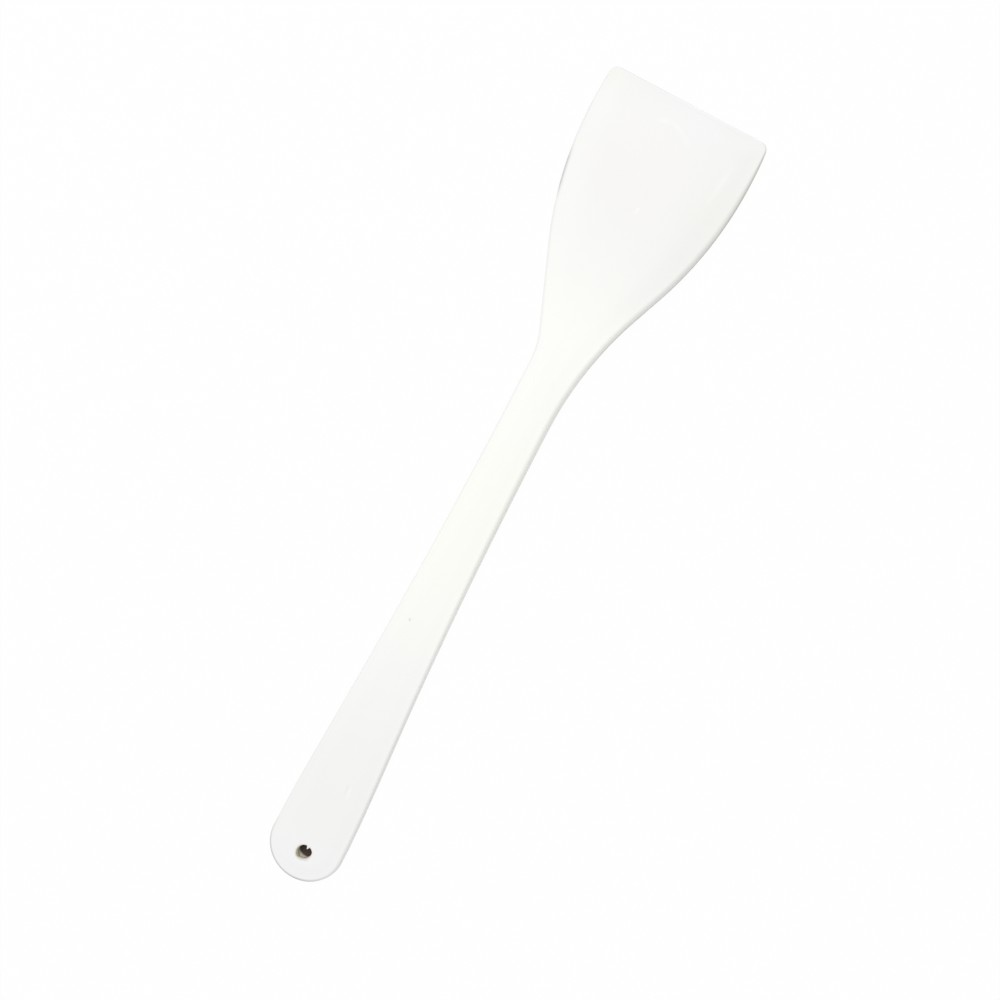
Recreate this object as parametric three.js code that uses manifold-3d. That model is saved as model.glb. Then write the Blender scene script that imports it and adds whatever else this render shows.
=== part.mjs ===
// Plastic spatula: a flat kitchen turner moulded in one piece. The handle has a rounded end with a hang
// hole and narrows to a neck, the blade flares from the neck, and its top thins down to the front edge.
// Millimetres, +Z up. X runs from the handle's end to the blade's front edge and Y to the tool's left.
// The origin is on the flat underside, halfway along the tool.

import * as THREE from 'three';
import { mergeVertices } from 'three/addons/utils/BufferGeometryUtils.js';
import Module from 'manifold-3d';

// Plan
const OVERALL_LENGTH = 300;
const HANDLE_WIDTH = 27.4; // at its widest, behind the rounded end
const HANDLE_END_DEPTH = 12.8; // of the half ellipse that rounds the end
const HANDLE_EASE = 34; // how far the handle's full width holds its edge out
const NECK_WIDTH = 16.3;
const NECK_EASE = 105; // how far the neck's width draws the handle's edge in
const LEFT_SHOULDER_RADIUS = 28; // the left shoulder turns tighter than the right one
const RIGHT_SHOULDER_RADIUS = 128;
const FLARE_ANGLE = THREE.MathUtils.degToRad(22); // of each flank, from the long axis
const BLADE_WIDTH = 61.8;
const BLADE_SIDE_RADIUS = 131;
const WIDEST_FROM_FRONT = 14.2;
const FRONT_CORNER_RADIUS = 3;

// Thickness and edges
const HANDLE_END_THICKNESS = 3.4;
const NECK_THICKNESS = 5;
const FRONT_THICKNESS = 1;
const BEVEL_LENGTH = 42; // from the front edge to where the line of the bevel meets the flat top
const BEVEL_BLEND = 25; // of flat top that is rounded into the bevel
const TOP_EDGE_RADIUS = 1;
const UNDER_EDGE_RADIUS = 0.6;
const LEAST_WALL = 0.3; // upright wall left between the two edge radii

// Hang hole
const HOLE_DIAMETER = 6.2;
const HOLE_FROM_END = 9.7; // to its centre
const HOLE_OFFSET = 0.7; // of its centre to the tool's right
const HOLE_RIM_RADIUS = 0.4;
const HOLE_OVERRUN = 2; // of the cutter past both faces

// Fineness of the facets
const CURVE_SAMPLES = 120;
const END_STEPS = 12;
const HANDLE_STEPS = 22;
const BLADE_STEPS = 46;
const CORNER_STEPS = 6;
const TOP_EDGE_STEPS = 5;
const UNDER_EDGE_STEPS = 3;
const HOLE_SIDES = 40;
const HOLE_RIM_STEPS = 3;

const QUARTER_TURN = Math.PI / 2;
const widestX = OVERALL_LENGTH - WIDEST_FROM_FRONT;
const bevelStartX = OVERALL_LENGTH - BEVEL_LENGTH;

// How one edge of the blade leaves the neck: the shoulder's arc, a straight flank and the blade's side arc
// run tangent into each other. A blade too narrow for a flank has its two arcs meet at a flatter angle.
function flareOf(shoulderRadius) {
  const rise = (BLADE_WIDTH - NECK_WIDTH) / 2;
  const radii = shoulderRadius + BLADE_SIDE_RADIUS;
  const angle = Math.min(FLARE_ANGLE, Math.acos(1 - rise / radii));
  const flank = (rise - radii * (1 - Math.cos(angle))) / Math.sin(angle);
  const neckEnd = widestX - radii * Math.sin(angle) - flank * Math.cos(angle);
  return { angle, neckEnd };
}

// One edge of the plan, on the +Y side, from the tip of the handle's end to the front edge. The front
// corner is an arc tangent to both the blade's side and the front edge.
function planEdge(shoulderRadius) {
  const handleHalf = HANDLE_WIDTH / 2;
  const neckHalf = NECK_WIDTH / 2;
  const { angle, neckEnd } = flareOf(shoulderRadius);
  const handleRun = neckEnd - HANDLE_END_DEPTH;
  const handleEase = Math.min(HANDLE_EASE, handleRun);
  const neckEase = Math.min(NECK_EASE, handleRun);
  const sideCentreY = BLADE_WIDTH / 2 - BLADE_SIDE_RADIUS;
  const cornerX = OVERALL_LENGTH - FRONT_CORNER_RADIUS;
  const centreToCorner = BLADE_SIDE_RADIUS - FRONT_CORNER_RADIUS;
  const cornerAngle = Math.acos((cornerX - widestX) / centreToCorner);
  const cornerY = sideCentreY + centreToCorner * Math.sin(cornerAngle);

  const edge = new THREE.Path();
  edge.absellipse(HANDLE_END_DEPTH, 0, HANDLE_END_DEPTH, handleHalf, Math.PI, QUARTER_TURN, true);
  edge.bezierCurveTo(
    HANDLE_END_DEPTH + handleEase, handleHalf,
    neckEnd - neckEase, neckHalf,
    neckEnd, neckHalf,
  );
  edge.absarc(neckEnd, neckHalf + shoulderRadius, shoulderRadius, -QUARTER_TURN, angle - QUARTER_TURN, false);
  edge.absarc(widestX, sideCentreY, BLADE_SIDE_RADIUS, QUARTER_TURN + angle, cornerAngle, true);
  edge.absarc(cornerX, cornerY, FRONT_CORNER_RADIUS, cornerAngle, 0, true);
  return edge.getPoints(CURVE_SAMPLES);
}

// Y of a sampled curve at x, for points whose x never falls.
function heightAt(points, x) {
  const next = points.findIndex((point) => point.x >= x);
  if (next < 0) return points.at(-1).y;
  if (next === 0) return points[0].y;
  const before = points[next - 1];
  const after = points[next];
  return THREE.MathUtils.mapLinear(x, before.x, after.x, before.y, after.y);
}

// The top in side view: it rises gently from the handle's end to the blade, where it rounds over into the
// bevel that ends at the front edge. The underside is flat.
const bevelCurve = new THREE.QuadraticBezierCurve(
  new THREE.Vector2(bevelStartX - BEVEL_BLEND, NECK_THICKNESS),
  new THREE.Vector2(bevelStartX, NECK_THICKNESS),
  new THREE.Vector2(OVERALL_LENGTH, FRONT_THICKNESS),
).getPoints(CURVE_SAMPLES);

function thicknessAt(x) {
  const blendStart = bevelCurve[0].x;
  if (x > blendStart) return heightAt(bevelCurve, x);
  const rise = THREE.MathUtils.smoothstep(x, 0, blendStart);
  return THREE.MathUtils.lerp(HANDLE_END_THICKNESS, NECK_THICKNESS, rise);
}

// Stations along the tool: round the handle's end, along the handle to the first shoulder, along the
// flanks and the blade's sides, and round the front corners.
function stations() {
  const shoulders = [LEFT_SHOULDER_RADIUS, RIGHT_SHOULDER_RADIUS];
  const handleEnd = Math.min(...shoulders.map((radius) => flareOf(radius).neckEnd));
  const cornerStart = OVERALL_LENGTH - FRONT_CORNER_RADIUS;
  const list = [];
  for (let i = 0; i < END_STEPS; i++) {
    list.push(HANDLE_END_DEPTH * (1 - Math.cos((i / END_STEPS) * QUARTER_TURN)));
  }
  for (let i = 0; i < HANDLE_STEPS; i++) {
    list.push(THREE.MathUtils.lerp(HANDLE_END_DEPTH, handleEnd, i / HANDLE_STEPS));
  }
  for (let i = 0; i < BLADE_STEPS; i++) {
    list.push(THREE.MathUtils.lerp(handleEnd, cornerStart, i / BLADE_STEPS));
  }
  for (let i = 0; i <= CORNER_STEPS; i++) {
    list.push(cornerStart + FRONT_CORNER_RADIUS * Math.sin((i / CORNER_STEPS) * QUARTER_TURN));
  }
  return list;
}

// Plan outline, counter-clockwise from above: from the tip along the right edge to the front, then back
// along the left edge. Each point carries its outward normal.
function planOutline() {
  const left = planEdge(LEFT_SHOULDER_RADIUS);
  const right = planEdge(RIGHT_SHOULDER_RADIUS);
  const along = stations();
  const points = along.map((x) => new THREE.Vector2(x, -heightAt(right, x)));
  for (const x of along.slice(1).reverse()) points.push(new THREE.Vector2(x, heightAt(left, x)));
  return points.map((point, i) => {
    const before = points.at(i - 1);
    const after = points[(i + 1) % points.length];
    const tangent = after.clone().sub(before).normalize();
    return { point, outward: new THREE.Vector2(tangent.y, -tangent.x) };
  });
}

// Section of the rim at a given thickness, from the underside's edge up to the top's edge: how far each
// point lies inside the outline, and its height. Thin stretches take both radii down together.
function rimSection(thickness) {
  const share = Math.min(1, thickness / (TOP_EDGE_RADIUS + UNDER_EDGE_RADIUS + LEAST_WALL));
  const top = TOP_EDGE_RADIUS * share;
  const under = UNDER_EDGE_RADIUS * share;
  const section = [];
  for (let i = 0; i <= UNDER_EDGE_STEPS; i++) {
    const turn = (i / UNDER_EDGE_STEPS) * QUARTER_TURN;
    section.push({ inset: under * (1 - Math.sin(turn)), height: under * (1 - Math.cos(turn)) });
  }
  for (let i = 0; i <= TOP_EDGE_STEPS; i++) {
    const turn = (i / TOP_EDGE_STEPS) * QUARTER_TURN;
    section.push({ inset: top * (1 - Math.cos(turn)), height: thickness - top * (1 - Math.sin(turn)) });
  }
  return section;
}

// The moulding without its hole: the rim section swept round the outline, closed by the two faces, which
// are strips across the tool between facing points of its edges.
function mouldingGeometry() {
  const outline = planOutline();
  const around = outline.length;
  const sections = outline.map(({ point }) => rimSection(thicknessAt(point.x)));
  const rows = sections[0].length;
  const positions = [];
  const triangles = [];
  for (let row = 0; row < rows; row++) {
    outline.forEach(({ point, outward }, i) => {
      const { inset, height } = sections[i][row];
      positions.push(point.x - outward.x * inset, point.y - outward.y * inset, height);
    });
  }
  for (let row = 0; row < rows - 1; row++) {
    for (let i = 0; i < around; i++) {
      const a = row * around + i;
      const b = row * around + ((i + 1) % around);
      triangles.push(a, b, b + around, a, b + around, a + around);
    }
  }
  const topRow = (rows - 1) * around;
  const pairs = (around - 1) / 2;
  for (let i = 0; i < pairs; i++) {
    const [right, nextRight] = [i, i + 1];
    const [left, nextLeft] = [around - i, around - i - 1];
    triangles.push(topRow + right, topRow + nextRight, topRow + nextLeft);
    triangles.push(right, nextLeft, nextRight);
    if (i === 0) continue;
    triangles.push(topRow + right, topRow + nextLeft, topRow + left);
    triangles.push(right, left, nextLeft);
  }
  const geometry = new THREE.BufferGeometry();
  geometry.setAttribute('position', new THREE.Float32BufferAttribute(positions, 3));
  geometry.setIndex(triangles);
  return geometry;
}

// The space of the hang hole: a bore whose rims are rounded out to both faces.
function holeGeometry() {
  const mouth = HOLE_DIAMETER / 2 + HOLE_RIM_RADIUS;
  const top = thicknessAt(HOLE_FROM_END);
  const underRim = [];
  for (let i = 0; i <= HOLE_RIM_STEPS; i++) {
    const turn = (i / HOLE_RIM_STEPS) * QUARTER_TURN;
    const radius = mouth - HOLE_RIM_RADIUS * Math.sin(turn);
    underRim.push(new THREE.Vector2(radius, HOLE_RIM_RADIUS * (1 - Math.cos(turn))));
  }
  const topRim = underRim.map((point) => new THREE.Vector2(point.x, top - point.y)).reverse();
  const profile = [
    new THREE.Vector2(0, -HOLE_OVERRUN),
    new THREE.Vector2(mouth, -HOLE_OVERRUN),
    ...underRim,
    ...topRim,
    new THREE.Vector2(mouth, top + HOLE_OVERRUN),
    new THREE.Vector2(0, top + HOLE_OVERRUN),
  ];
  const geometry = new THREE.LatheGeometry(profile, HOLE_SIDES);
  geometry.rotateX(QUARTER_TURN);
  geometry.translate(HOLE_FROM_END, -HOLE_OFFSET, 0);
  return geometry;
}

const wasm = await Module();
wasm.setup();

function toSolid(geometry) {
  geometry.deleteAttribute('normal');
  geometry.deleteAttribute('uv');
  const merged = mergeVertices(geometry);
  const vertProperties = new Float32Array(merged.attributes.position.array);
  const triVerts = new Uint32Array(merged.index.array);
  return new wasm.Manifold(new wasm.Mesh({ numProp: 3, vertProperties, triVerts }));
}

function toGeometry(solid) {
  const mesh = solid.getMesh();
  const geometry = new THREE.BufferGeometry();
  geometry.setAttribute('position', new THREE.BufferAttribute(mesh.vertProperties, mesh.numProp));
  geometry.setIndex(new THREE.BufferAttribute(mesh.triVerts, 1));
  geometry.computeVertexNormals();
  return geometry;
}

const whitePlastic = new THREE.MeshStandardMaterial({ color: 0xf4f4f0, roughness: 0.4, metalness: 0 });

const moulding = toSolid(mouldingGeometry()).subtract(toSolid(holeGeometry()));
const spatula = new THREE.Mesh(toGeometry(moulding), whitePlastic);
spatula.name = 'spatula';
spatula.position.x = -OVERALL_LENGTH / 2;

const tool = new THREE.Group();
tool.add(spatula);

export default tool;
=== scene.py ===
import math

import bpy
import numpy as np
from mathutils import Matrix, Vector


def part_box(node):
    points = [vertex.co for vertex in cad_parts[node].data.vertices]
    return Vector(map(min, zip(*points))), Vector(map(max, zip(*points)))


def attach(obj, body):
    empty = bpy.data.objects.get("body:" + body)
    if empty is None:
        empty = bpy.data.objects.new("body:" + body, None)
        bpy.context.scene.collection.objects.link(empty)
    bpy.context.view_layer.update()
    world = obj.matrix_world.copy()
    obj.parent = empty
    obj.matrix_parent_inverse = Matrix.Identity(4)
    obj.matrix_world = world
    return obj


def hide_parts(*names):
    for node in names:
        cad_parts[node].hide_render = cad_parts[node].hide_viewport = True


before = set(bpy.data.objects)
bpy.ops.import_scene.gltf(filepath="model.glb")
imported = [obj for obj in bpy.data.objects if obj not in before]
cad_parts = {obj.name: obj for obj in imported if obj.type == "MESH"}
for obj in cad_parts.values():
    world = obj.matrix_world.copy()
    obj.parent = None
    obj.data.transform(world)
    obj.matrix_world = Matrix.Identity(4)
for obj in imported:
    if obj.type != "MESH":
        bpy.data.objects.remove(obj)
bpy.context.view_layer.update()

# The spatula
# The whole tool is one shot of white polypropylene: handle, hang hole, neck and blade. It leaves the mould
# with a rounded edge all round, is trimmed at its gate and is used as it is, with nothing fixed to it.

# Plan, in metres: X runs from the handle's end to the front edge, Y to the tool's left.
low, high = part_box("spatula")
HANDLE_WIDTH = 0.0274
HANDLE_END_DEPTH = 0.0128
HANDLE_START_X = low.x + HANDLE_END_DEPTH
HANDLE_EASE = 0.034
NECK_WIDTH = 0.0163
NECK_EASE = 0.105
LEFT_SHOULDER_RADIUS = 0.028
RIGHT_SHOULDER_RADIUS = 0.128
FLARE_ANGLE = math.radians(22)
BLADE_WIDTH = high.y - low.y
BLADE_SIDE_RADIUS = 0.131
WIDEST_X = high.x - 0.0142
FRONT_CORNER_RADIUS = 0.003
CORNER_START_X = high.x - FRONT_CORNER_RADIUS
HOLE_X = low.x + 0.0097
HOLE_Y = -0.0007
HOLE_MOUTH_RADIUS = 0.0035
MIDLINE_END_X = high.x - 0.03

# How many columns of the skin stand on each stretch of an edge. They stand closest on the blade and its
# corners, where the outline bends most.
CURVE_SAMPLES = 200
END_COLUMNS = 48
HANDLE_COLUMNS = 70
BLADE_COLUMNS = 100
BLADE_COLUMNS_X = (HANDLE_START_X + 2 * CORNER_START_X) / 3
CORNER_COLUMNS = 14
FRONT_COLUMNS = 14
QUARTER_TURN = math.pi / 2


def plan_edge(shoulder_radius):
    """X and Y of one edge, on the +Y side, from behind the rounded end to the front edge."""
    share = np.linspace(0, 1, CURVE_SAMPLES)
    rise = (BLADE_WIDTH - NECK_WIDTH) / 2
    radii = shoulder_radius + BLADE_SIDE_RADIUS
    flank = (rise - radii * (1 - math.cos(FLARE_ANGLE))) / math.sin(FLARE_ANGLE)
    neck_end = WIDEST_X - radii * math.sin(FLARE_ANGLE) - flank * math.cos(FLARE_ANGLE)

    # The handle's side is a cubic curve, level at both ends.
    ease_x = [HANDLE_START_X, HANDLE_START_X + HANDLE_EASE, neck_end - NECK_EASE, neck_end]
    weights = [(1 - share) ** 3, 3 * share * (1 - share) ** 2, 3 * share ** 2 * (1 - share), share ** 3]
    handle_x = sum(weight * x for weight, x in zip(weights, ease_x))
    handle_y = (HANDLE_WIDTH * (weights[0] + weights[1]) + NECK_WIDTH * (weights[2] + weights[3])) / 2

    # An arc turns out of the neck, and a straight flank joins it to the long arc of the blade's side.
    turn = FLARE_ANGLE * share
    shoulder_x = neck_end + shoulder_radius * np.sin(turn)
    shoulder_y = NECK_WIDTH / 2 + shoulder_radius * (1 - np.cos(turn))
    to_corner = BLADE_SIDE_RADIUS - FRONT_CORNER_RADIUS
    corner_turn = math.asin((CORNER_START_X - WIDEST_X) / to_corner)
    turn = FLARE_ANGLE + (-corner_turn - FLARE_ANGLE) * share
    side_x = WIDEST_X - BLADE_SIDE_RADIUS * np.sin(turn)
    side_y = BLADE_WIDTH / 2 - BLADE_SIDE_RADIUS * (1 - np.cos(turn))

    # A small arc rounds the front corner.
    corner_y = BLADE_WIDTH / 2 - BLADE_SIDE_RADIUS + to_corner * math.cos(corner_turn)
    turn = corner_turn + (QUARTER_TURN - corner_turn) * share
    round_x = CORNER_START_X + FRONT_CORNER_RADIUS * np.sin(turn)
    round_y = corner_y + FRONT_CORNER_RADIUS * np.cos(turn)
    return (
        np.concatenate([handle_x, shoulder_x, side_x, round_x]),
        np.concatenate([handle_y, shoulder_y, side_y, round_y]),
    )


def half_plan(shoulder_radius, side):
    """Plan points of one edge from the tip to the middle of the front, each with the point of the tool's
    core that it faces: the mouth of the hang hole, then the line from it along the tool."""
    edge_x, edge_y = plan_edge(shoulder_radius)
    half = []
    for i in range(END_COLUMNS):
        turn = i / END_COLUMNS * QUARTER_TURN
        x = low.x + HANDLE_END_DEPTH * (1 - math.cos(turn))
        y = HANDLE_WIDTH / 2 * math.sin(turn)
        # This quarter of the rounded end faces half of the hole's mouth.
        about = math.pi - 2 * turn
        mouth_x = HOLE_X + HOLE_MOUTH_RADIUS * math.cos(about)
        mouth_y = HOLE_Y + side * HOLE_MOUTH_RADIUS * math.sin(about)
        half.append(((x, side * y), (mouth_x, mouth_y)))
    along = list(np.linspace(HANDLE_START_X, BLADE_COLUMNS_X, HANDLE_COLUMNS, endpoint=False))
    along += list(np.linspace(BLADE_COLUMNS_X, CORNER_START_X, BLADE_COLUMNS, endpoint=False))
    corner_turns = np.linspace(0, QUARTER_TURN, CORNER_COLUMNS)
    along += list(CORNER_START_X + FRONT_CORNER_RADIUS * np.sin(corner_turns))
    for x in along:
        y = float(np.interp(x, edge_x, edge_y))
        midline_x = max(min(x, MIDLINE_END_X), HOLE_X + HOLE_MOUTH_RADIUS)
        half.append(((x, side * y), (midline_x, HOLE_Y)))
    front_half = float(edge_y[-1])
    for y in np.linspace(front_half, 0, FRONT_COLUMNS + 1)[1:]:
        half.append(((high.x, side * y), (MIDLINE_END_X, HOLE_Y)))
    return half


right_half = half_plan(RIGHT_SHOULDER_RADIUS, -1)
left_half = half_plan(LEFT_SHOULDER_RADIUS, 1)
ring = right_half + left_half[-2:0:-1]
plan_points = np.array([[*edge, 0.0] for edge, _ in ring])
core_points = np.array([[*core, 0.0] for _, core in ring])
run = np.roll(plan_points, -1, axis=0) - np.roll(plan_points, 1, axis=0)
inward = np.stack([-run[:, 1], run[:, 0], run[:, 2]], axis=1)
inward /= np.linalg.norm(inward, axis=1)[:, None]

plan = bpy.data.meshes.new("spatula_plan")
plan.from_pydata(plan_points.tolist(), [], [])
for name, vectors in (("inward", inward), ("core", core_points)):
    attribute = plan.attributes.new(name, "FLOAT_VECTOR", "POINT")
    attribute.data.foreach_set("vector", vectors.ravel())


def add(tree, kind, inputs=None, **settings):
    """Adds one node with its settings. An input takes a node, a socket, a list of them or a plain value."""
    node = tree.nodes.new(kind)
    for name, value in settings.items():
        setattr(node, name, value)
    for key, value in (inputs or {}).items():
        for source in value if isinstance(value, list) else [value]:
            if isinstance(source, bpy.types.Node):
                source = source.outputs[0]
            if isinstance(source, bpy.types.NodeSocket):
                tree.links.new(source, node.inputs[key])
            else:
                node.inputs[key].default_value = source
    return node


# The skin's rule: a rim section swept round the plan, with rounded edges, and two faces drawn in from the
# rim to the core. The top follows the tool's thickness, which rises to the neck and falls along the bevel.
TOOL_SIZES = {
    "Handle end": low.x,
    "Front": high.x,
    "Handle end thickness": 0.0034,
    "Neck thickness": high.z - low.z,
    "Front thickness": 0.001,
    "Bevel length": 0.042,
    "Bevel blend": 0.025,
    "Top edge radius": 0.001,
    "Blade edge radius": 0.0015,
    "Wide edge start": low.x + 0.06,
    "Wide edge full": low.x + 0.18,
    "Under edge radius": 0.0006,
    "Least wall": 0.0003,
    "Side bevel start": high.x - 0.11,
    "Side bevel full": high.x - 0.06,
    "Side bevel width": 0.009,
    "Side bevel drop": 0.0003,
    "Crown width": 0.005,
    "Crown drop": 0.00022,
    "Hole position": HOLE_X,
    "Hole offset": HOLE_Y,
    "Hole rim radius": 0.0006,
    "Hole foot height": 0.0002,
    "Eased side turn": math.radians(219),
    "Eased rim extra": 0.0011,
    "Flash turn": math.radians(-8),
    "Flash spread": math.radians(12),
    "Flash length": 0.0011,
}
FACE_ROWS = 16
UNDER_EDGE_ROWS = 8
TOP_EDGE_ROWS = 12
HOLE_RIM_ROWS = 6
ROW_CROWDING = 1.7
WELD_DISTANCE = 5e-6

tree = bpy.data.node_groups.new("spatula_skin", "GeometryNodeTree")
tree.interface.new_socket("Plan", in_out="INPUT", socket_type="NodeSocketGeometry")
for name in TOOL_SIZES:
    tree.interface.new_socket(name, in_out="INPUT", socket_type="NodeSocketFloat")
tree.interface.new_socket("Plastic", in_out="INPUT", socket_type="NodeSocketMaterial")
tree.interface.new_socket("Skin", in_out="OUTPUT", socket_type="NodeSocketGeometry")
given = add(tree, "NodeGroupInput").outputs


def top_height(x):
    """Height of the top at x: a smooth rise to the neck, less a parabola along the bevel."""
    length = given["Bevel length"]
    blend = given["Bevel blend"]
    thickest = given["Neck thickness"]
    bevel_start = add(tree, "ShaderNodeMath", {0: given["Front"], 1: length}, operation="SUBTRACT")
    blend_start = add(tree, "ShaderNodeMath", {0: bevel_start, 1: blend}, operation="SUBTRACT")
    rise = add(tree, "ShaderNodeMapRange", {
        "Value": x,
        "From Min": given["Handle end"],
        "From Max": blend_start,
        "To Min": given["Handle end thickness"],
        "To Max": thickest,
    }, interpolation_type="SMOOTHSTEP")
    past = add(tree, "ShaderNodeMath", {0: x, 1: blend_start}, operation="SUBTRACT")
    past = add(tree, "ShaderNodeMath", {0: past, 1: 0.0}, operation="MAXIMUM")
    longer = add(tree, "ShaderNodeMath", {0: length, 1: blend}, operation="SUBTRACT")
    inside = add(tree, "ShaderNodeMath", {0: longer, 1: past}, operation="MULTIPLY")
    inside = add(tree, "ShaderNodeMath", {0: blend, 1: blend, 2: inside}, operation="MULTIPLY_ADD")
    root = add(tree, "ShaderNodeMath", {0: inside}, operation="SQRT")
    below = add(tree, "ShaderNodeMath", {0: blend, 1: root}, operation="ADD")
    share = add(tree, "ShaderNodeMath", {0: past, 1: below}, operation="DIVIDE")
    thinning = add(tree, "ShaderNodeMath", {0: thickest, 1: given["Front thickness"]}, operation="SUBTRACT")
    drop = add(tree, "ShaderNodeMath", {0: share, 1: share}, operation="MULTIPLY")
    drop = add(tree, "ShaderNodeMath", {0: drop, 1: thinning}, operation="MULTIPLY")
    return add(tree, "ShaderNodeMath", {0: rise, 1: drop}, operation="SUBTRACT")


# Each point of the skin's grid finds its column on the plan and its row on the section.
columns = add(tree, "GeometryNodeAttributeDomainSize", {0: given["Plan"]}).outputs["Point Count"]
closing = add(tree, "FunctionNodeIntegerMath", {0: columns, 1: 1}, operation="ADD")
under_start = FACE_ROWS
under_end = under_start + UNDER_EDGE_ROWS
top_start = under_end + 1
top_end = top_start + TOP_EDGE_ROWS
last_row = top_end + FACE_ROWS
row_count = last_row + 1
index = add(tree, "GeometryNodeInputIndex")
row = add(tree, "FunctionNodeIntegerMath", {0: index, 1: row_count}, operation="MODULO")
column = add(tree, "FunctionNodeIntegerMath", {0: index, 1: row_count}, operation="DIVIDE_FLOOR")
plan_index = add(tree, "FunctionNodeIntegerMath", {0: column, 1: columns}, operation="MODULO")
position = add(tree, "GeometryNodeInputPosition")
inward_field = add(tree, "GeometryNodeInputNamedAttribute", {"Name": "inward"}, data_type="FLOAT_VECTOR")
core_field = add(tree, "GeometryNodeInputNamedAttribute", {"Name": "core"}, data_type="FLOAT_VECTOR")
edge, edge_inward, core = [add(tree, "GeometryNodeSampleIndex", {
    "Geometry": given["Plan"],
    "Value": field,
    "Index": plan_index,
}, data_type="FLOAT_VECTOR") for field in (position, inward_field, core_field)]

# Rows from the core of the underside out to its edge, up the rim, and in again over the top.
under_face, under_turn, top_turn, top_face = [add(tree, "ShaderNodeMapRange", {
    "Value": row,
    "From Min": first,
    "From Max": last,
    "To Min": at_first,
    "To Max": at_last,
}) for first, last, at_first, at_last in (
    (0, under_start, 1, 0),
    (under_start, under_end, 0, QUARTER_TURN),
    (top_start, top_end, 0, QUARTER_TURN),
    (top_end, last_row, 0, 1),
)]
across = add(tree, "ShaderNodeMath", {0: under_face, 1: top_face}, operation="ADD")
across = add(tree, "ShaderNodeMath", {0: across, 1: ROW_CROWDING}, operation="POWER")
on_top = add(tree, "ShaderNodeMath", {0: row, 1: under_end}, operation="GREATER_THAN")

# The top is crowned: it falls away a little towards its edges, most on the blade.
edge_x = add(tree, "ShaderNodeSeparateXYZ", {0: edge})
edge_drop, edge_slope = [add(tree, "ShaderNodeMapRange", {
    "Value": edge_x,
    "From Min": given["Side bevel start"],
    "From Max": given["Side bevel full"],
    "To Min": given["Crown " + size],
    "To Max": given["Side bevel " + size],
}, interpolation_type="SMOOTHSTEP") for size in ("drop", "width")]

# Both edge radii shrink together where the tool is too thin for them.
edge_height = add(tree, "ShaderNodeMath", {0: top_height(edge_x), 1: edge_drop}, operation="SUBTRACT")
top_radius = add(tree, "ShaderNodeMapRange", {
    "Value": edge_x,
    "From Min": given["Wide edge start"],
    "From Max": given["Wide edge full"],
    "To Min": given["Top edge radius"],
    "To Max": given["Blade edge radius"],
}, interpolation_type="SMOOTHSTEP")
both = add(tree, "ShaderNodeMath", {0: top_radius, 1: given["Under edge radius"]}, operation="ADD")
both = add(tree, "ShaderNodeMath", {0: both, 1: given["Least wall"]}, operation="ADD")
fit = add(tree, "ShaderNodeMath", {0: edge_height, 1: both}, operation="DIVIDE")
fit = add(tree, "ShaderNodeMath", {0: fit, 1: 1.0}, operation="MINIMUM")
top_radius = add(tree, "ShaderNodeMath", {0: top_radius, 1: fit}, operation="MULTIPLY")
under_radius = add(tree, "ShaderNodeMath", {0: given["Under edge radius"], 1: fit}, operation="MULTIPLY")
under_sine = add(tree, "ShaderNodeMath", {0: under_turn}, operation="SINE")
under_cosine = add(tree, "ShaderNodeMath", {0: under_turn}, operation="COSINE")
top_sine = add(tree, "ShaderNodeMath", {0: top_turn}, operation="SINE")
top_cosine = add(tree, "ShaderNodeMath", {0: top_turn}, operation="COSINE")
under_short, under_rise, top_short, top_fall = [
    add(tree, "ShaderNodeMath", {0: 1.0, 1: part}, operation="SUBTRACT")
    for part in (under_sine, under_cosine, top_cosine, top_sine)
]
inset = add(tree, "ShaderNodeMath", {0: under_radius, 1: under_short}, operation="MULTIPLY")
inset = add(tree, "ShaderNodeMath", {0: top_radius, 1: top_short, 2: inset}, operation="MULTIPLY_ADD")
step_in = add(tree, "ShaderNodeVectorMath", {0: edge_inward, "Scale": inset}, operation="SCALE")
rim = add(tree, "ShaderNodeVectorMath", {0: edge, 1: step_in}, operation="ADD")

# Sockets 4 and 5 of a mix of vectors are its two ends, and output 1 is its result.
flat = add(tree, "ShaderNodeMix", {0: across, 4: rim, 5: core}, data_type="VECTOR").outputs[1]
flat_xyz = add(tree, "ShaderNodeSeparateXYZ", {0: flat}).outputs
under_height = add(tree, "ShaderNodeMath", {0: under_radius, 1: under_rise}, operation="MULTIPLY")
fall = add(tree, "ShaderNodeMath", {0: top_radius, 1: top_fall}, operation="MULTIPLY")
from_rim = add(tree, "ShaderNodeVectorMath", {0: flat, 1: rim}, operation="DISTANCE").outputs["Value"]
bevel = add(tree, "ShaderNodeMapRange", {
    "Value": from_rim,
    "From Min": 0.0,
    "From Max": edge_slope,
    "To Min": edge_drop,
    "To Max": 0.0,
}, interpolation_type="SMOOTHSTEP")
fall = add(tree, "ShaderNodeMath", {0: fall, 1: bevel}, operation="ADD")
over_height = add(tree, "ShaderNodeMath", {0: top_height(flat_xyz["X"]), 1: fall}, operation="SUBTRACT")
height = add(tree, "GeometryNodeSwitch", {
    "Switch": on_top,
    "False": under_height,
    "True": over_height,
}, input_type="FLOAT")
place = add(tree, "ShaderNodeCombineXYZ", {"X": flat_xyz["X"], "Y": flat_xyz["Y"], "Z": height})
skin = add(tree, "GeometryNodeMeshGrid", {"Vertices X": closing, "Vertices Y": row_count})
skin = add(tree, "GeometryNodeSetPosition", {"Geometry": skin, "Position": place})

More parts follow.
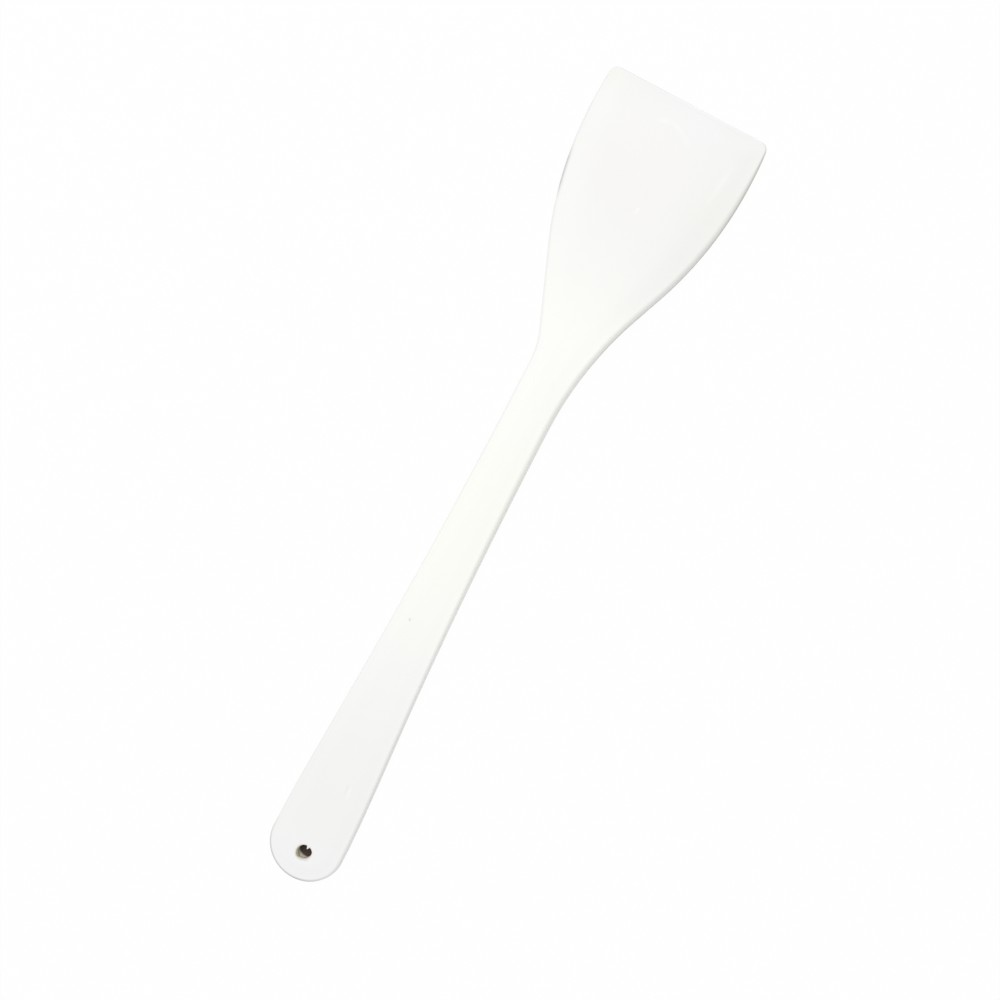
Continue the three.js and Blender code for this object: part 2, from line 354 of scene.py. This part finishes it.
# The painted shade has to know the upright wall, and the part of the rim below the top's rounded edge.
on_wall = add(tree, "ShaderNodeMath", {0: under_sine, 1: top_fall}, operation="MULTIPLY")
off_top = add(tree, "ShaderNodeMath", {0: 1.0, 1: on_top}, operation="SUBTRACT")
wall_foot = add(tree, "ShaderNodeMath", {0: under_sine, 1: off_top}, operation="MULTIPLY")
for name, share in (("wall", on_wall), ("wall_foot", wall_foot)):
    skin = add(tree, "GeometryNodeStoreNamedAttribute", {
        "Geometry": skin,
        "Name": name,
        "Value": share,
    }, data_type="FLOAT", domain="POINT")

# The wall of the hang hole, from the top's mouth down to the underside's, with both rims eased. Towards the
# handle's end the upper rim slopes over a longer way, and the wall below it stands further in. A nub of flash
# from the mould stands out of that rim on the side of the blade.
bore_columns = 2 * END_COLUMNS + 1
bore_rows = 2 * HOLE_RIM_ROWS + 2
bore_row = add(tree, "FunctionNodeIntegerMath", {0: index, 1: bore_rows}, operation="MODULO")
bore_column = add(tree, "FunctionNodeIntegerMath", {0: index, 1: bore_rows}, operation="DIVIDE_FLOOR")
from_tip = add(tree, "FunctionNodeIntegerMath", {0: bore_column, 1: END_COLUMNS}, operation="SUBTRACT")
from_tip = add(tree, "FunctionNodeIntegerMath", {0: from_tip, 1: columns}, operation="ADD")
mouth_index = add(tree, "FunctionNodeIntegerMath", {0: from_tip, 1: columns}, operation="MODULO")
mouth = add(tree, "GeometryNodeSampleIndex", {
    "Geometry": given["Plan"],
    "Value": core_field,
    "Index": mouth_index,
}, data_type="FLOAT_VECTOR")
axis = add(tree, "ShaderNodeCombineXYZ", {"X": given["Hole position"], "Y": given["Hole offset"]})
outward = add(tree, "ShaderNodeVectorMath", {0: mouth, 1: axis}, operation="SUBTRACT")
outward = add(tree, "ShaderNodeVectorMath", {0: outward}, operation="NORMALIZE")
upper_turn = add(tree, "ShaderNodeMapRange", {
    "Value": bore_row,
    "From Min": 0,
    "From Max": HOLE_RIM_ROWS,
    "To Min": 0,
    "To Max": QUARTER_TURN,
})
lower_turn = add(tree, "ShaderNodeMapRange", {
    "Value": bore_row,
    "From Min": HOLE_RIM_ROWS + 1,
    "From Max": bore_rows - 1,
    "To Min": QUARTER_TURN,
    "To Max": 0,
})
upper_sine = add(tree, "ShaderNodeMath", {0: upper_turn}, operation="SINE")
lower_sine = add(tree, "ShaderNodeMath", {0: lower_turn}, operation="SINE")
in_bore = add(tree, "ShaderNodeMath", {0: upper_sine, 1: lower_sine}, operation="MULTIPLY")
lower_half = add(tree, "ShaderNodeMath", {0: bore_row, 1: HOLE_RIM_ROWS}, operation="GREATER_THAN")
upper_half = add(tree, "ShaderNodeMath", {0: 1.0, 1: lower_half}, operation="SUBTRACT")
nearness = []
for turn_name in ("Flash turn", "Eased side turn"):
    side_x = add(tree, "ShaderNodeMath", {0: given[turn_name]}, operation="COSINE")
    side_y = add(tree, "ShaderNodeMath", {0: given[turn_name]}, operation="SINE")
    side = add(tree, "ShaderNodeCombineXYZ", {"X": side_x, "Y": side_y})
    near = add(tree, "ShaderNodeVectorMath", {0: outward, 1: side}, operation="DOT_PRODUCT")
    nearness.append(near.outputs["Value"])
flash_near, eased_near = nearness
flash_far = add(tree, "ShaderNodeMath", {0: given["Flash spread"]}, operation="COSINE")
flash = add(tree, "ShaderNodeMapRange", {
    "Value": flash_near,
    "From Min": flash_far,
    "From Max": 1.0,
    "To Max": given["Flash length"],
}, interpolation_type="SMOOTHSTEP")
for share in (upper_sine, upper_half):
    flash = add(tree, "ShaderNodeMath", {0: flash, 1: share}, operation="MULTIPLY")
eased = add(tree, "ShaderNodeMapRange", {"Value": eased_near}, interpolation_type="SMOOTHSTEP")
hole_rim = add(tree, "ShaderNodeMath", {
    0: eased,
    1: given["Eased rim extra"],
    2: given["Hole rim radius"],
}, operation="MULTIPLY_ADD")
narrow = add(tree, "ShaderNodeMath", {0: in_bore, 1: hole_rim, 2: flash}, operation="MULTIPLY_ADD")
step_in = add(tree, "ShaderNodeVectorMath", {0: outward, "Scale": narrow}, operation="SCALE")
wall = add(tree, "ShaderNodeVectorMath", {0: mouth, 1: step_in}, operation="SUBTRACT")
wall_xyz = add(tree, "ShaderNodeSeparateXYZ", {0: wall}).outputs
mouth_x = add(tree, "ShaderNodeSeparateXYZ", {0: mouth})
upper_cosine = add(tree, "ShaderNodeMath", {0: upper_turn}, operation="COSINE")
lower_cosine = add(tree, "ShaderNodeMath", {0: lower_turn}, operation="COSINE")
upper_fall = add(tree, "ShaderNodeMath", {0: 1.0, 1: upper_cosine}, operation="SUBTRACT")
upper_fall = add(tree, "ShaderNodeMath", {0: upper_fall, 1: hole_rim}, operation="MULTIPLY")
lower_rise = add(tree, "ShaderNodeMath", {0: 1.0, 1: lower_cosine}, operation="SUBTRACT")
lower_rise = add(tree, "ShaderNodeMath", {0: lower_rise, 1: given["Hole foot height"]}, operation="MULTIPLY")
upper_height = add(tree, "ShaderNodeMath", {0: top_height(mouth_x), 1: upper_fall}, operation="SUBTRACT")
height = add(tree, "GeometryNodeSwitch", {
    "Switch": lower_half,
    "False": upper_height,
    "True": lower_rise,
}, input_type="FLOAT")
place = add(tree, "ShaderNodeCombineXYZ", {"X": wall_xyz["X"], "Y": wall_xyz["Y"], "Z": height})
bore = add(tree, "GeometryNodeMeshGrid", {"Vertices X": bore_columns, "Vertices Y": bore_rows})
bore = add(tree, "GeometryNodeSetPosition", {"Geometry": bore, "Position": place})
for name, share in (("bore", in_bore), ("eased", eased)):
    bore = add(tree, "GeometryNodeStoreNamedAttribute", {
        "Geometry": bore,
        "Name": name,
        "Value": share,
    }, data_type="FLOAT", domain="POINT")

whole = add(tree, "GeometryNodeJoinGeometry", {"Geometry": [skin, bore]})
whole = add(tree, "GeometryNodeMergeByDistance", {"Geometry": whole, "Distance": WELD_DISTANCE})
whole = add(tree, "GeometryNodeSetShadeSmooth", {"Geometry": whole})
whole = add(tree, "GeometryNodeRealizeInstances", {"Geometry": whole})
whole = add(tree, "GeometryNodeSetMaterial", {"Geometry": whole, "Material": given["Plastic"]})
add(tree, "NodeGroupOutput", {"Skin": whole})


def linear(hex_colour):
    """Linear RGBA of an sRGB hex colour, by the curve of the sRGB standard."""
    channels = [int(hex_colour[i:i + 2], 16) / 255 for i in (1, 3, 5)]
    return (*[c / 12.92 if c <= 0.04045 else ((c + 0.055) / 1.055) ** 2.4 for c in channels], 1.0)


# Moulded white polypropylene that has seen years of use: a pale satin white with broad soft reflections. It
# has yellowed a little where it is held, food has left faint stains on the blade and wiping has left fine
# scuffs. The hang hole's wall is tinted beige. Painted shade greys the handle's end and much of the blade,
# and lies low on the blade's right side, in a thin line on parts of the rim and on the hole's eased side.
# Painted highlights lighten the thin front edge and one side of a scratch on the handle.
POLYPROPYLENE_IOR = 1.49
SATIN_ROUGHNESS = 0.4
WORN_ROUGHNESS = 0.5
CLEAN_WHITE = "#F6F7F4"
YELLOWED_WHITE = "#F6F7F2"
CLOUD_SIZE = 0.045
YELLOWED_CLOUDS = (0.4, 0.7)
WORN_CLOUDS = (0.3, 0.7)
RIPPLE_SIZE = 0.02
RIPPLE_DEPTH = 0.00005

# Real scuffs are about 0.05 mm wide and the mould's satin grain is finer still. Both are drawn coarser here,
# so that the picture can show them.
SCUFF_WIDTH = 0.0005
GRAIN_SIZE = 0.0007
GRAIN_DEPTH = 0.000006
SCUFF_DEPTH = 0.000012
SCUFF_LENGTH = 0.022
SCUFF_TURNS = (0.05, -0.12, 0.6)
SCUFF_LINES = (0.64, 0.74)
SCUFF_PATCH_SIZE = 0.028
SCUFF_PATCHES = (0.45, 0.65)
SCUFF_TINT = 0.45
SCUFF_ROUGHNESS = 0.12
SCUFFED_WHITE = "#F0EFEC"

# Stains and painted shade: colour, strength, middle and half size on the tool, and the share of it that fades
# out. Their outlines wander a little.
WANDER_SIZE = 0.012
WANDER_REACH = 0.006
NOISE_MIDDLE = (0.5, 0.5, 0.5)
STAINS_AND_PAINTED_SHADE = (
    ("#F6F7EF", 0.7, (-0.008, 0.0), (0.070, 0.04), 1.0),
    # Painted shade: these two grey the plastic towards the handle's end, where less light falls.
    ("#EBEBEB", 0.6, (-0.160, 0.0), (0.135, 0.06), 0.7),
    ("#EFEEF2", 0.4, (-0.155, 0.0), (0.034, 0.04), 1.0),
    # Painted shade: these three grey the blade over its middle, along its front and on its right side.
    ("#E8E7E6", 0.6, (0.140, -0.010), (0.085, 0.10), 0.7),
    ("#E6E6E8", 0.9, (0.166, 0.0), (0.032, 0.08), 1.0),
    ("#E9E9E6", 0.75, (0.110, -0.033), (0.075, 0.030), 1.0),
    ("#ECECEF", 0.35, (0.1400, -0.0090), (0.016, 0.017), 0.8),
    ("#EFECEA", 0.45, (0.1225, 0.0055), (0.023, 0.024), 0.5),
    ("#ECEADF", 0.4, (0.1465, 0.029), (0.007, 0.006), 1.0),
)
# Small marks and painted highlights: the same, with a turn before the share that fades out. The last one is a
# painted highlight that lightens the thin front edge.
MARKS_AND_HIGHLIGHTS = (
    ("#FBFBF9", 0.4, (0.11024, -0.00117), (0.0019, 0.0007), -0.09, 0.8),
    ("#B0AAA0", 0.3, (-0.0500, 0.0038), (0.0008, 0.0006), 0.4, 0.6),
    ("#FBFBF9", 0.25, (0.1310, -0.0222), (0.0090, 0.0016), -0.121, 1.0),
    ("#FBFBF9", 0.25, (0.1412, 0.0052), (0.0036, 0.0013), -1.26, 1.0),
    ("#FBFBF9", 0.25, (0.1412, 0.0000), (0.0036, 0.0013), 1.28, 1.0),
    ("#FBFBF9", 0.2, (0.1389, -0.0040), (0.0034, 0.0013), 0.90, 1.0),
    # A shallow scratch on the handle: a dark line, and a painted highlight beside it.
    ("#DCDBD8", 0.3, (-0.1128, -0.0039), (0.0026, 0.0005), 0.13, 0.8),
    ("#FBFBF9", 0.35, (-0.1138, -0.0052), (0.0030, 0.0007), 0.13, 0.8),
    ("#FFFFFF", 0.4, (0.1502, 0.0), (0.0009, 0.050), 0.0, 0.7),
)

# Painted shade on the wall: the axis, where it sets in and where it is full. It darkens the wall low down on
# the blade's right side, where it meets the floor, and stays off the front edge.
PAINTED_FOOT_SHADE = "#B4A498"
PAINTED_FOOT_SHADE_LIMITS = (
    ("Z", 0.0028, 0.00056),
    ("X", 0.04, 0.08),
    ("Y", -0.004, -0.012),
    ("X", high.x - 0.001, high.x - 0.004),
)
PAINTED_FOOT_SHADE_LEAST = 0.8

# A thin line of painted shade on the rim keeps to the upper rounded edge, off the upright wall and its foot.
# It is dark at one mark on the blade's left side and round the handle's end, and faint along the rest of the
# left side.
PAINTED_RIM_SHADE = "#7C7977"
RIM_LINE_POWER = 0.5
RIM_LINE_WALL = (0.95, 0.78)
RIM_LINE_FOOT = 0.35
RIM_MARK = (0.111, 0.026)
RIM_MARK_REACH = 0.011
RIM_MARK_CORE = 0.4
RIM_MARK_STRENGTH = 0.8
END_LINE_X = (low.x + 0.020, low.x + 0.006)
END_LINE_Y = (-0.012, -0.003)
END_LINE_STRENGTH = 0.9
LEFT_LINE_Y = (0.0, 0.004)
LEFT_LINE_STRENGTH = 0.14
# The hang hole's wall is tinted beige.
HOLE_WALL_BEIGE = "#EEE9D8"
# Painted shade: the hole's eased side is greyed, which tones down the light on it.
EASED_SIDE_SHADE = "#D6D5D3"

plastic = bpy.data.materials.new("moulded_white_polypropylene")
plastic.use_nodes = True
paint = plastic.node_tree
paint.nodes.clear()
here = add(paint, "ShaderNodeTexCoord").outputs["Object"]
here_xyz = add(paint, "ShaderNodeSeparateXYZ", {0: here}).outputs
clouds = add(paint, "ShaderNodeTexNoise", {"Vector": here, "Scale": 1 / CLOUD_SIZE, "Detail": 3.0})
yellowing = add(paint, "ShaderNodeMapRange", {
    "Value": clouds,
    "From Min": YELLOWED_CLOUDS[0],
    "From Max": YELLOWED_CLOUDS[1],
})
# Sockets 0, 6 and 7 of a mix of colours are its share and its two colours, and output 2 is its result.
colour = add(paint, "ShaderNodeMix", {
    0: yellowing,
    6: linear(CLEAN_WHITE),
    7: linear(YELLOWED_WHITE),
}, data_type="RGBA").outputs[2]

wander = add(paint, "ShaderNodeTexNoise", {"Vector": here, "Scale": 1 / WANDER_SIZE, "Detail": 2.0})
wander = add(paint, "ShaderNodeVectorMath", {
    0: wander.outputs["Color"],
    1: NOISE_MIDDLE,
}, operation="SUBTRACT")
wander = add(paint, "ShaderNodeVectorMath", {0: wander, "Scale": WANDER_REACH}, operation="SCALE")
wandered = add(paint, "ShaderNodeVectorMath", {0: here, 1: wander}, operation="ADD")
for hex_colour, strength, (x, y), (half_x, half_y), fade in STAINS_AND_PAINTED_SHADE:
    centred = add(paint, "ShaderNodeMapping", {
        "Vector": wandered,
        "Location": (x, y, 0.0),
        "Scale": (half_x, half_y, 1.0),
    }, vector_type="TEXTURE")
    reach = add(paint, "ShaderNodeVectorMath", {0: centred}, operation="LENGTH").outputs["Value"]
    cover = add(paint, "ShaderNodeMapRange", {
        "Value": reach,
        "From Min": 1.0,
        "From Max": 1.0 - fade,
        "To Max": strength,
    }, interpolation_type="SMOOTHSTEP")
    colour = add(paint, "ShaderNodeMix", {
        0: cover,
        6: colour,
        7: linear(hex_colour),
    }, data_type="RGBA").outputs[2]

patches = add(paint, "ShaderNodeTexNoise", {"Vector": here, "Scale": 1 / SCUFF_PATCH_SIZE, "Detail": 1.0})
patches = add(paint, "ShaderNodeMapRange", {
    "Value": patches,
    "From Min": SCUFF_PATCHES[0],
    "From Max": SCUFF_PATCHES[1],
})
scuffs = 0.0
for turn in SCUFF_TURNS:
    drawn_out = add(paint, "ShaderNodeMapping", {
        "Vector": here,
        "Rotation": (0.0, 0.0, turn),
        "Scale": (SCUFF_LENGTH, SCUFF_WIDTH, SCUFF_WIDTH),
    }, vector_type="TEXTURE")
    lines = add(paint, "ShaderNodeTexNoise", {"Vector": drawn_out, "Scale": 1.0, "Detail": 2.0})
    lines = add(paint, "ShaderNodeMapRange", {
        "Value": lines,
        "From Min": SCUFF_LINES[0],
        "From Max": SCUFF_LINES[1],
    })
    scuffs = add(paint, "ShaderNodeMath", {0: scuffs, 1: lines}, operation="MAXIMUM")
scuffs = add(paint, "ShaderNodeMath", {0: scuffs, 1: patches}, operation="MULTIPLY")
scuff_tint = add(paint, "ShaderNodeMath", {0: scuffs, 1: SCUFF_TINT}, operation="MULTIPLY")
colour = add(paint, "ShaderNodeMix", {
    0: scuff_tint,
    6: colour,
    7: linear(SCUFFED_WHITE),
}, data_type="RGBA").outputs[2]

for hex_colour, strength, (x, y), (half_x, half_y), turn, fade in MARKS_AND_HIGHLIGHTS:
    centred = add(paint, "ShaderNodeMapping", {
        "Vector": here,
        "Location": (x, y, 0.0),
        "Rotation": (0.0, 0.0, turn),
        "Scale": (half_x, half_y, 1.0),
    }, vector_type="TEXTURE")
    reach = add(paint, "ShaderNodeVectorMath", {0: centred}, operation="LENGTH").outputs["Value"]
    cover = add(paint, "ShaderNodeMapRange", {
        "Value": reach,
        "From Min": 1.0,
        "From Max": 1.0 - fade,
        "To Max": strength,
    })
    colour = add(paint, "ShaderNodeMix", {
        0: cover,
        6: colour,
        7: linear(hex_colour),
    }, data_type="RGBA").outputs[2]

on_wall = add(paint, "ShaderNodeAttribute", attribute_name="wall").outputs["Fac"]
wall_foot = add(paint, "ShaderNodeAttribute", attribute_name="wall_foot").outputs["Fac"]
# Painted shade: the wall darkens low down on the blade's right side, in patches.
foot_shade = on_wall
for axis_name, start, full in PAINTED_FOOT_SHADE_LIMITS:
    share = add(paint, "ShaderNodeMapRange", {
        "Value": here_xyz[axis_name],
        "From Min": start,
        "From Max": full,
    })
    foot_shade = add(paint, "ShaderNodeMath", {0: foot_shade, 1: share}, operation="MULTIPLY")
patchy = add(paint, "ShaderNodeMapRange", {
    "Value": clouds,
    "From Min": WORN_CLOUDS[0],
    "From Max": WORN_CLOUDS[1],
    "To Min": PAINTED_FOOT_SHADE_LEAST,
})
foot_shade = add(paint, "ShaderNodeMath", {0: foot_shade, 1: patchy}, operation="MULTIPLY")
colour = add(paint, "ShaderNodeMix", {
    0: foot_shade,
    6: colour,
    7: linear(PAINTED_FOOT_SHADE),
}, data_type="RGBA").outputs[2]

rim_line = add(paint, "ShaderNodeMath", {0: on_wall, 1: RIM_LINE_POWER}, operation="POWER")
off_wall = add(paint, "ShaderNodeMapRange", {
    "Value": on_wall,
    "From Min": RIM_LINE_WALL[0],
    "From Max": RIM_LINE_WALL[1],
})
upper_wall = add(paint, "ShaderNodeMapRange", {
    "Value": wall_foot,
    "From Min": RIM_LINE_FOOT,
    "From Max": 0.0,
})
centred = add(paint, "ShaderNodeMapping", {
    "Vector": here,
    "Location": (*RIM_MARK, 0.0),
    "Scale": (RIM_MARK_REACH, RIM_MARK_REACH, 1.0),
}, vector_type="TEXTURE")
reach = add(paint, "ShaderNodeVectorMath", {0: centred}, operation="LENGTH").outputs["Value"]
rim_mark = add(paint, "ShaderNodeMapRange", {
    "Value": reach,
    "From Min": 1.0,
    "From Max": RIM_MARK_CORE,
    "To Max": RIM_MARK_STRENGTH,
})
round_end = add(paint, "ShaderNodeMapRange", {
    "Value": here_xyz["X"],
    "From Min": END_LINE_X[0],
    "From Max": END_LINE_X[1],
    "To Max": END_LINE_STRENGTH,
})
off_right = add(paint, "ShaderNodeMapRange", {
    "Value": here_xyz["Y"],
    "From Min": END_LINE_Y[0],
    "From Max": END_LINE_Y[1],
})
round_end = add(paint, "ShaderNodeMath", {0: round_end, 1: off_right}, operation="MULTIPLY")
on_left = add(paint, "ShaderNodeMapRange", {
    "Value": here_xyz["Y"],
    "From Min": LEFT_LINE_Y[0],
    "From Max": LEFT_LINE_Y[1],
    "To Max": LEFT_LINE_STRENGTH,
})
marked = add(paint, "ShaderNodeMath", {0: rim_mark, 1: round_end}, operation="MAXIMUM")
marked = add(paint, "ShaderNodeMath", {0: marked, 1: on_left}, operation="MAXIMUM")
for share in (off_wall, upper_wall, marked):
    rim_line = add(paint, "ShaderNodeMath", {0: rim_line, 1: share}, operation="MULTIPLY")
# Painted shade: a thin dark line along parts of the rim.
colour = add(paint, "ShaderNodeMix", {
    0: rim_line,
    6: colour,
    7: linear(PAINTED_RIM_SHADE),
}, data_type="RGBA").outputs[2]

in_hole = add(paint, "ShaderNodeAttribute", attribute_name="bore").outputs["Fac"]
on_eased_side = add(paint, "ShaderNodeAttribute", attribute_name="eased").outputs["Fac"]
# Painted shade greys the hole's eased side.
hole_colour = add(paint, "ShaderNodeMix", {
    0: on_eased_side,
    6: linear(HOLE_WALL_BEIGE),
    7: linear(EASED_SIDE_SHADE),
}, data_type="RGBA").outputs[2]
colour = add(paint, "ShaderNodeMix", {
    0: in_hole,
    6: colour,
    7: hole_colour,
}, data_type="RGBA").outputs[2]

roughness = add(paint, "ShaderNodeMapRange", {
    "Value": clouds,
    "From Min": WORN_CLOUDS[0],
    "From Max": WORN_CLOUDS[1],
    "To Min": SATIN_ROUGHNESS,
    "To Max": WORN_ROUGHNESS,
})
roughness = add(paint, "ShaderNodeMath", {
    0: scuffs,
    1: SCUFF_ROUGHNESS,
    2: roughness,
}, operation="MULTIPLY_ADD")
ripple = add(paint, "ShaderNodeTexNoise", {"Vector": here, "Scale": 1 / RIPPLE_SIZE, "Detail": 1.0})
grain = add(paint, "ShaderNodeTexNoise", {"Vector": here, "Scale": 1 / GRAIN_SIZE, "Detail": 2.0})
normal = add(paint, "ShaderNodeBump", {"Height": ripple, "Distance": RIPPLE_DEPTH})
normal = add(paint, "ShaderNodeBump", {"Height": grain, "Distance": GRAIN_DEPTH, "Normal": normal})
normal = add(paint, "ShaderNodeBump", {
    "Height": scuffs,
    "Distance": SCUFF_DEPTH,
    "Normal": normal,
}, invert=True)
shader = add(paint, "ShaderNodeBsdfPrincipled", {
    "Base Color": colour,
    "Roughness": roughness,
    "IOR": POLYPROPYLENE_IOR,
    "Normal": normal,
})
add(paint, "ShaderNodeOutputMaterial", {"Surface": shader})

spatula = bpy.data.objects.new("spatula_moulding", plan)
bpy.context.scene.collection.objects.link(spatula)
modifier = spatula.modifiers.new("skin", "NODES")
modifier.node_group = tree
for socket in tree.interface.items_tree:
    if socket.name in TOOL_SIZES:
        modifier[socket.identifier] = TOOL_SIZES[socket.name]
    if socket.name == "Plastic":
        modifier[socket.identifier] = plastic
evaluated = spatula.evaluated_get(bpy.context.evaluated_depsgraph_get())
moulding = bpy.data.meshes.new_from_object(evaluated)
spatula.modifiers.clear()
spatula.data = moulding
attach(spatula, "root")
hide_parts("spatula")

# The floor
# A matt white table top that the tool lies on. It reaches past the view on every side, and looks plain white.
# A small graded spot of painted shade lies on it under the hang hole, so that the hole looks dark from above.

FLOOR_SIZE = 6.0
FLOOR_GAP = 0.0002
WHITE = "#FFFFFF"
# How far the floor is lifted to plain white, and the distances from the hang hole between which that sets in.
WHITE_LIFT = 0.975
LIFT_DISTANCES = (0.0045, 0.009)
# The spot of painted shade: its middle, its reach, and its colours by the share of that reach.
SHADE_PLACE = (HOLE_X + 0.0030, HOLE_Y - 0.0001, low.z)
SHADE_REACH = 0.0085
SHADE_STOPS = ((0.48, "#4E4440"), (0.58, "#DCD6C2"), (0.78, "#DED9CA"), (1.0, "#E2E2E2"))

floor_mesh = bpy.data.meshes.new("floor")
floor_half = FLOOR_SIZE / 2
floor_z = low.z - FLOOR_GAP
corners = [
    (-floor_half, -floor_half, floor_z),
    (floor_half, -floor_half, floor_z),
    (floor_half, floor_half, floor_z),
    (-floor_half, floor_half, floor_z),
]
floor_mesh.from_pydata(corners, [], [(0, 1, 2, 3)])
floor = bpy.data.objects.new("floor", floor_mesh)
bpy.context.scene.collection.objects.link(floor)
table_top = bpy.data.materials.new("matt_white_table_top")
table_top.use_nodes = True
table_paint = table_top.node_tree
table_paint.nodes.clear()
ray = add(table_paint, "ShaderNodeLightPath").outputs
seen = add(table_paint, "ShaderNodeMath", {0: ray["Is Camera Ray"], 1: ray["Is Glossy Ray"]}, operation="ADD")
seen = add(table_paint, "ShaderNodeMath", {0: seen, 1: ray["Is Transmission Ray"]}, operation="ADD")
on_table = add(table_paint, "ShaderNodeTexCoord").outputs["Object"]
from_hole = add(table_paint, "ShaderNodeVectorMath", {
    0: on_table,
    1: (HOLE_X, HOLE_Y, floor_z),
}, operation="DISTANCE").outputs["Value"]
away = add(table_paint, "ShaderNodeMapRange", {
    "Value": from_hole,
    "From Min": LIFT_DISTANCES[0],
    "From Max": LIFT_DISTANCES[1],
})
lift = add(table_paint, "ShaderNodeMath", {0: away, 1: WHITE_LIFT}, operation="MULTIPLY")
lift = add(table_paint, "ShaderNodeMath", {0: lift, 1: seen}, operation="MULTIPLY")
from_shade = add(table_paint, "ShaderNodeVectorMath", {
    0: on_table,
    1: SHADE_PLACE,
}, operation="DISTANCE").outputs["Value"]
from_shade = add(table_paint, "ShaderNodeMath", {0: from_shade, 1: SHADE_REACH}, operation="DIVIDE")
top_colour = add(table_paint, "ShaderNodeValToRGB", {"Fac": from_shade})
stops = top_colour.color_ramp.elements
stops[0].position = SHADE_STOPS[0][0]
stops[-1].position = SHADE_STOPS[-1][0]
for share, _ in SHADE_STOPS[1:-1]:
    stops.new(share)
for stop, (_, hex_colour) in zip(stops, SHADE_STOPS):
    stop.color = linear(hex_colour)
matt = add(table_paint, "ShaderNodeBsdfDiffuse", {"Color": top_colour})
glow = add(table_paint, "ShaderNodeEmission", {"Color": linear(WHITE), "Strength": 1.0})
surface = add(table_paint, "ShaderNodeMixShader", {0: lift, 1: matt, 2: glow})
add(table_paint, "ShaderNodeOutputMaterial", {"Surface": surface})
floor_mesh.materials.append(table_top)

# The light
# A white room gives an even fill from every side, and looks plain white. One large soft lamp stands high on
# the tool's left, on the side of the blade.

FILL_STRENGTH = 0.765
KEY_PLACE = Vector((0.85, 0.98, 2.0))
KEY_AIM = Vector((0.0, 0.0, 0.0))
KEY_SIZE = 1.5
KEY_POWER = 20.6

world = bpy.data.worlds.new("white_room")
world.use_nodes = True
room = world.node_tree
room.nodes.clear()
ray = add(room, "ShaderNodeLightPath").outputs
seen = add(room, "ShaderNodeMath", {0: ray["Is Camera Ray"], 1: ray["Is Glossy Ray"]}, operation="ADD")
seen = add(room, "ShaderNodeMath", {0: seen, 1: ray["Is Transmission Ray"]}, operation="ADD")
fill = add(room, "ShaderNodeMapRange", {"Value": seen, "To Min": FILL_STRENGTH, "To Max": 1.0})
white = add(room, "ShaderNodeBackground", {"Color": linear(WHITE), "Strength": fill})
add(room, "ShaderNodeOutputWorld", {"Surface": white})
bpy.context.scene.world = world

key = bpy.data.lights.new("key", "AREA")
key.size = KEY_SIZE
key.energy = KEY_POWER
key_object = bpy.data.objects.new("key", key)
key_object.location = KEY_PLACE
key_object.rotation_euler = (KEY_AIM - KEY_PLACE).to_track_quat("-Z", "Y").to_euler()
bpy.context.scene.collection.objects.link(key_object)

# The camera
# It looks down on the tool from a little to its right and towards the blade, turned so that the blade points
# up and to the right of the picture.

CAMERA_TILT_RIGHT = math.radians(13)
CAMERA_TILT_FORWARD = math.radians(9)
CAMERA_ROLL = math.radians(-27.394)
CAMERA_DISTANCE = 1.3
CAMERA_AIM = Vector((0.000985, -0.004135, 0.0))
CAMERA_LENS = 137.056

toward = Vector((math.tan(CAMERA_TILT_FORWARD), -math.tan(CAMERA_TILT_RIGHT), 1)).normalized()
along_tool = Vector((1, 0, 0))
upright = (along_tool - toward * along_tool.dot(toward)).normalized()
sideways = upright.cross(toward)
across_picture = sideways * math.cos(CAMERA_ROLL) - upright * math.sin(CAMERA_ROLL)
up_picture = sideways * math.sin(CAMERA_ROLL) + upright * math.cos(CAMERA_ROLL)
camera = bpy.data.cameras.new("camera")
camera.lens = CAMERA_LENS
camera_object = bpy.data.objects.new("camera", camera)
turned = Matrix((across_picture, up_picture, toward)).transposed().to_4x4()
camera_object.matrix_world = Matrix.Translation(CAMERA_AIM + toward * CAMERA_DISTANCE) @ turned
bpy.context.scene.collection.objects.link(camera_object)
bpy.context.scene.camera = camera_object
bpy.context.scene.view_settings.view_transform = "Standard"
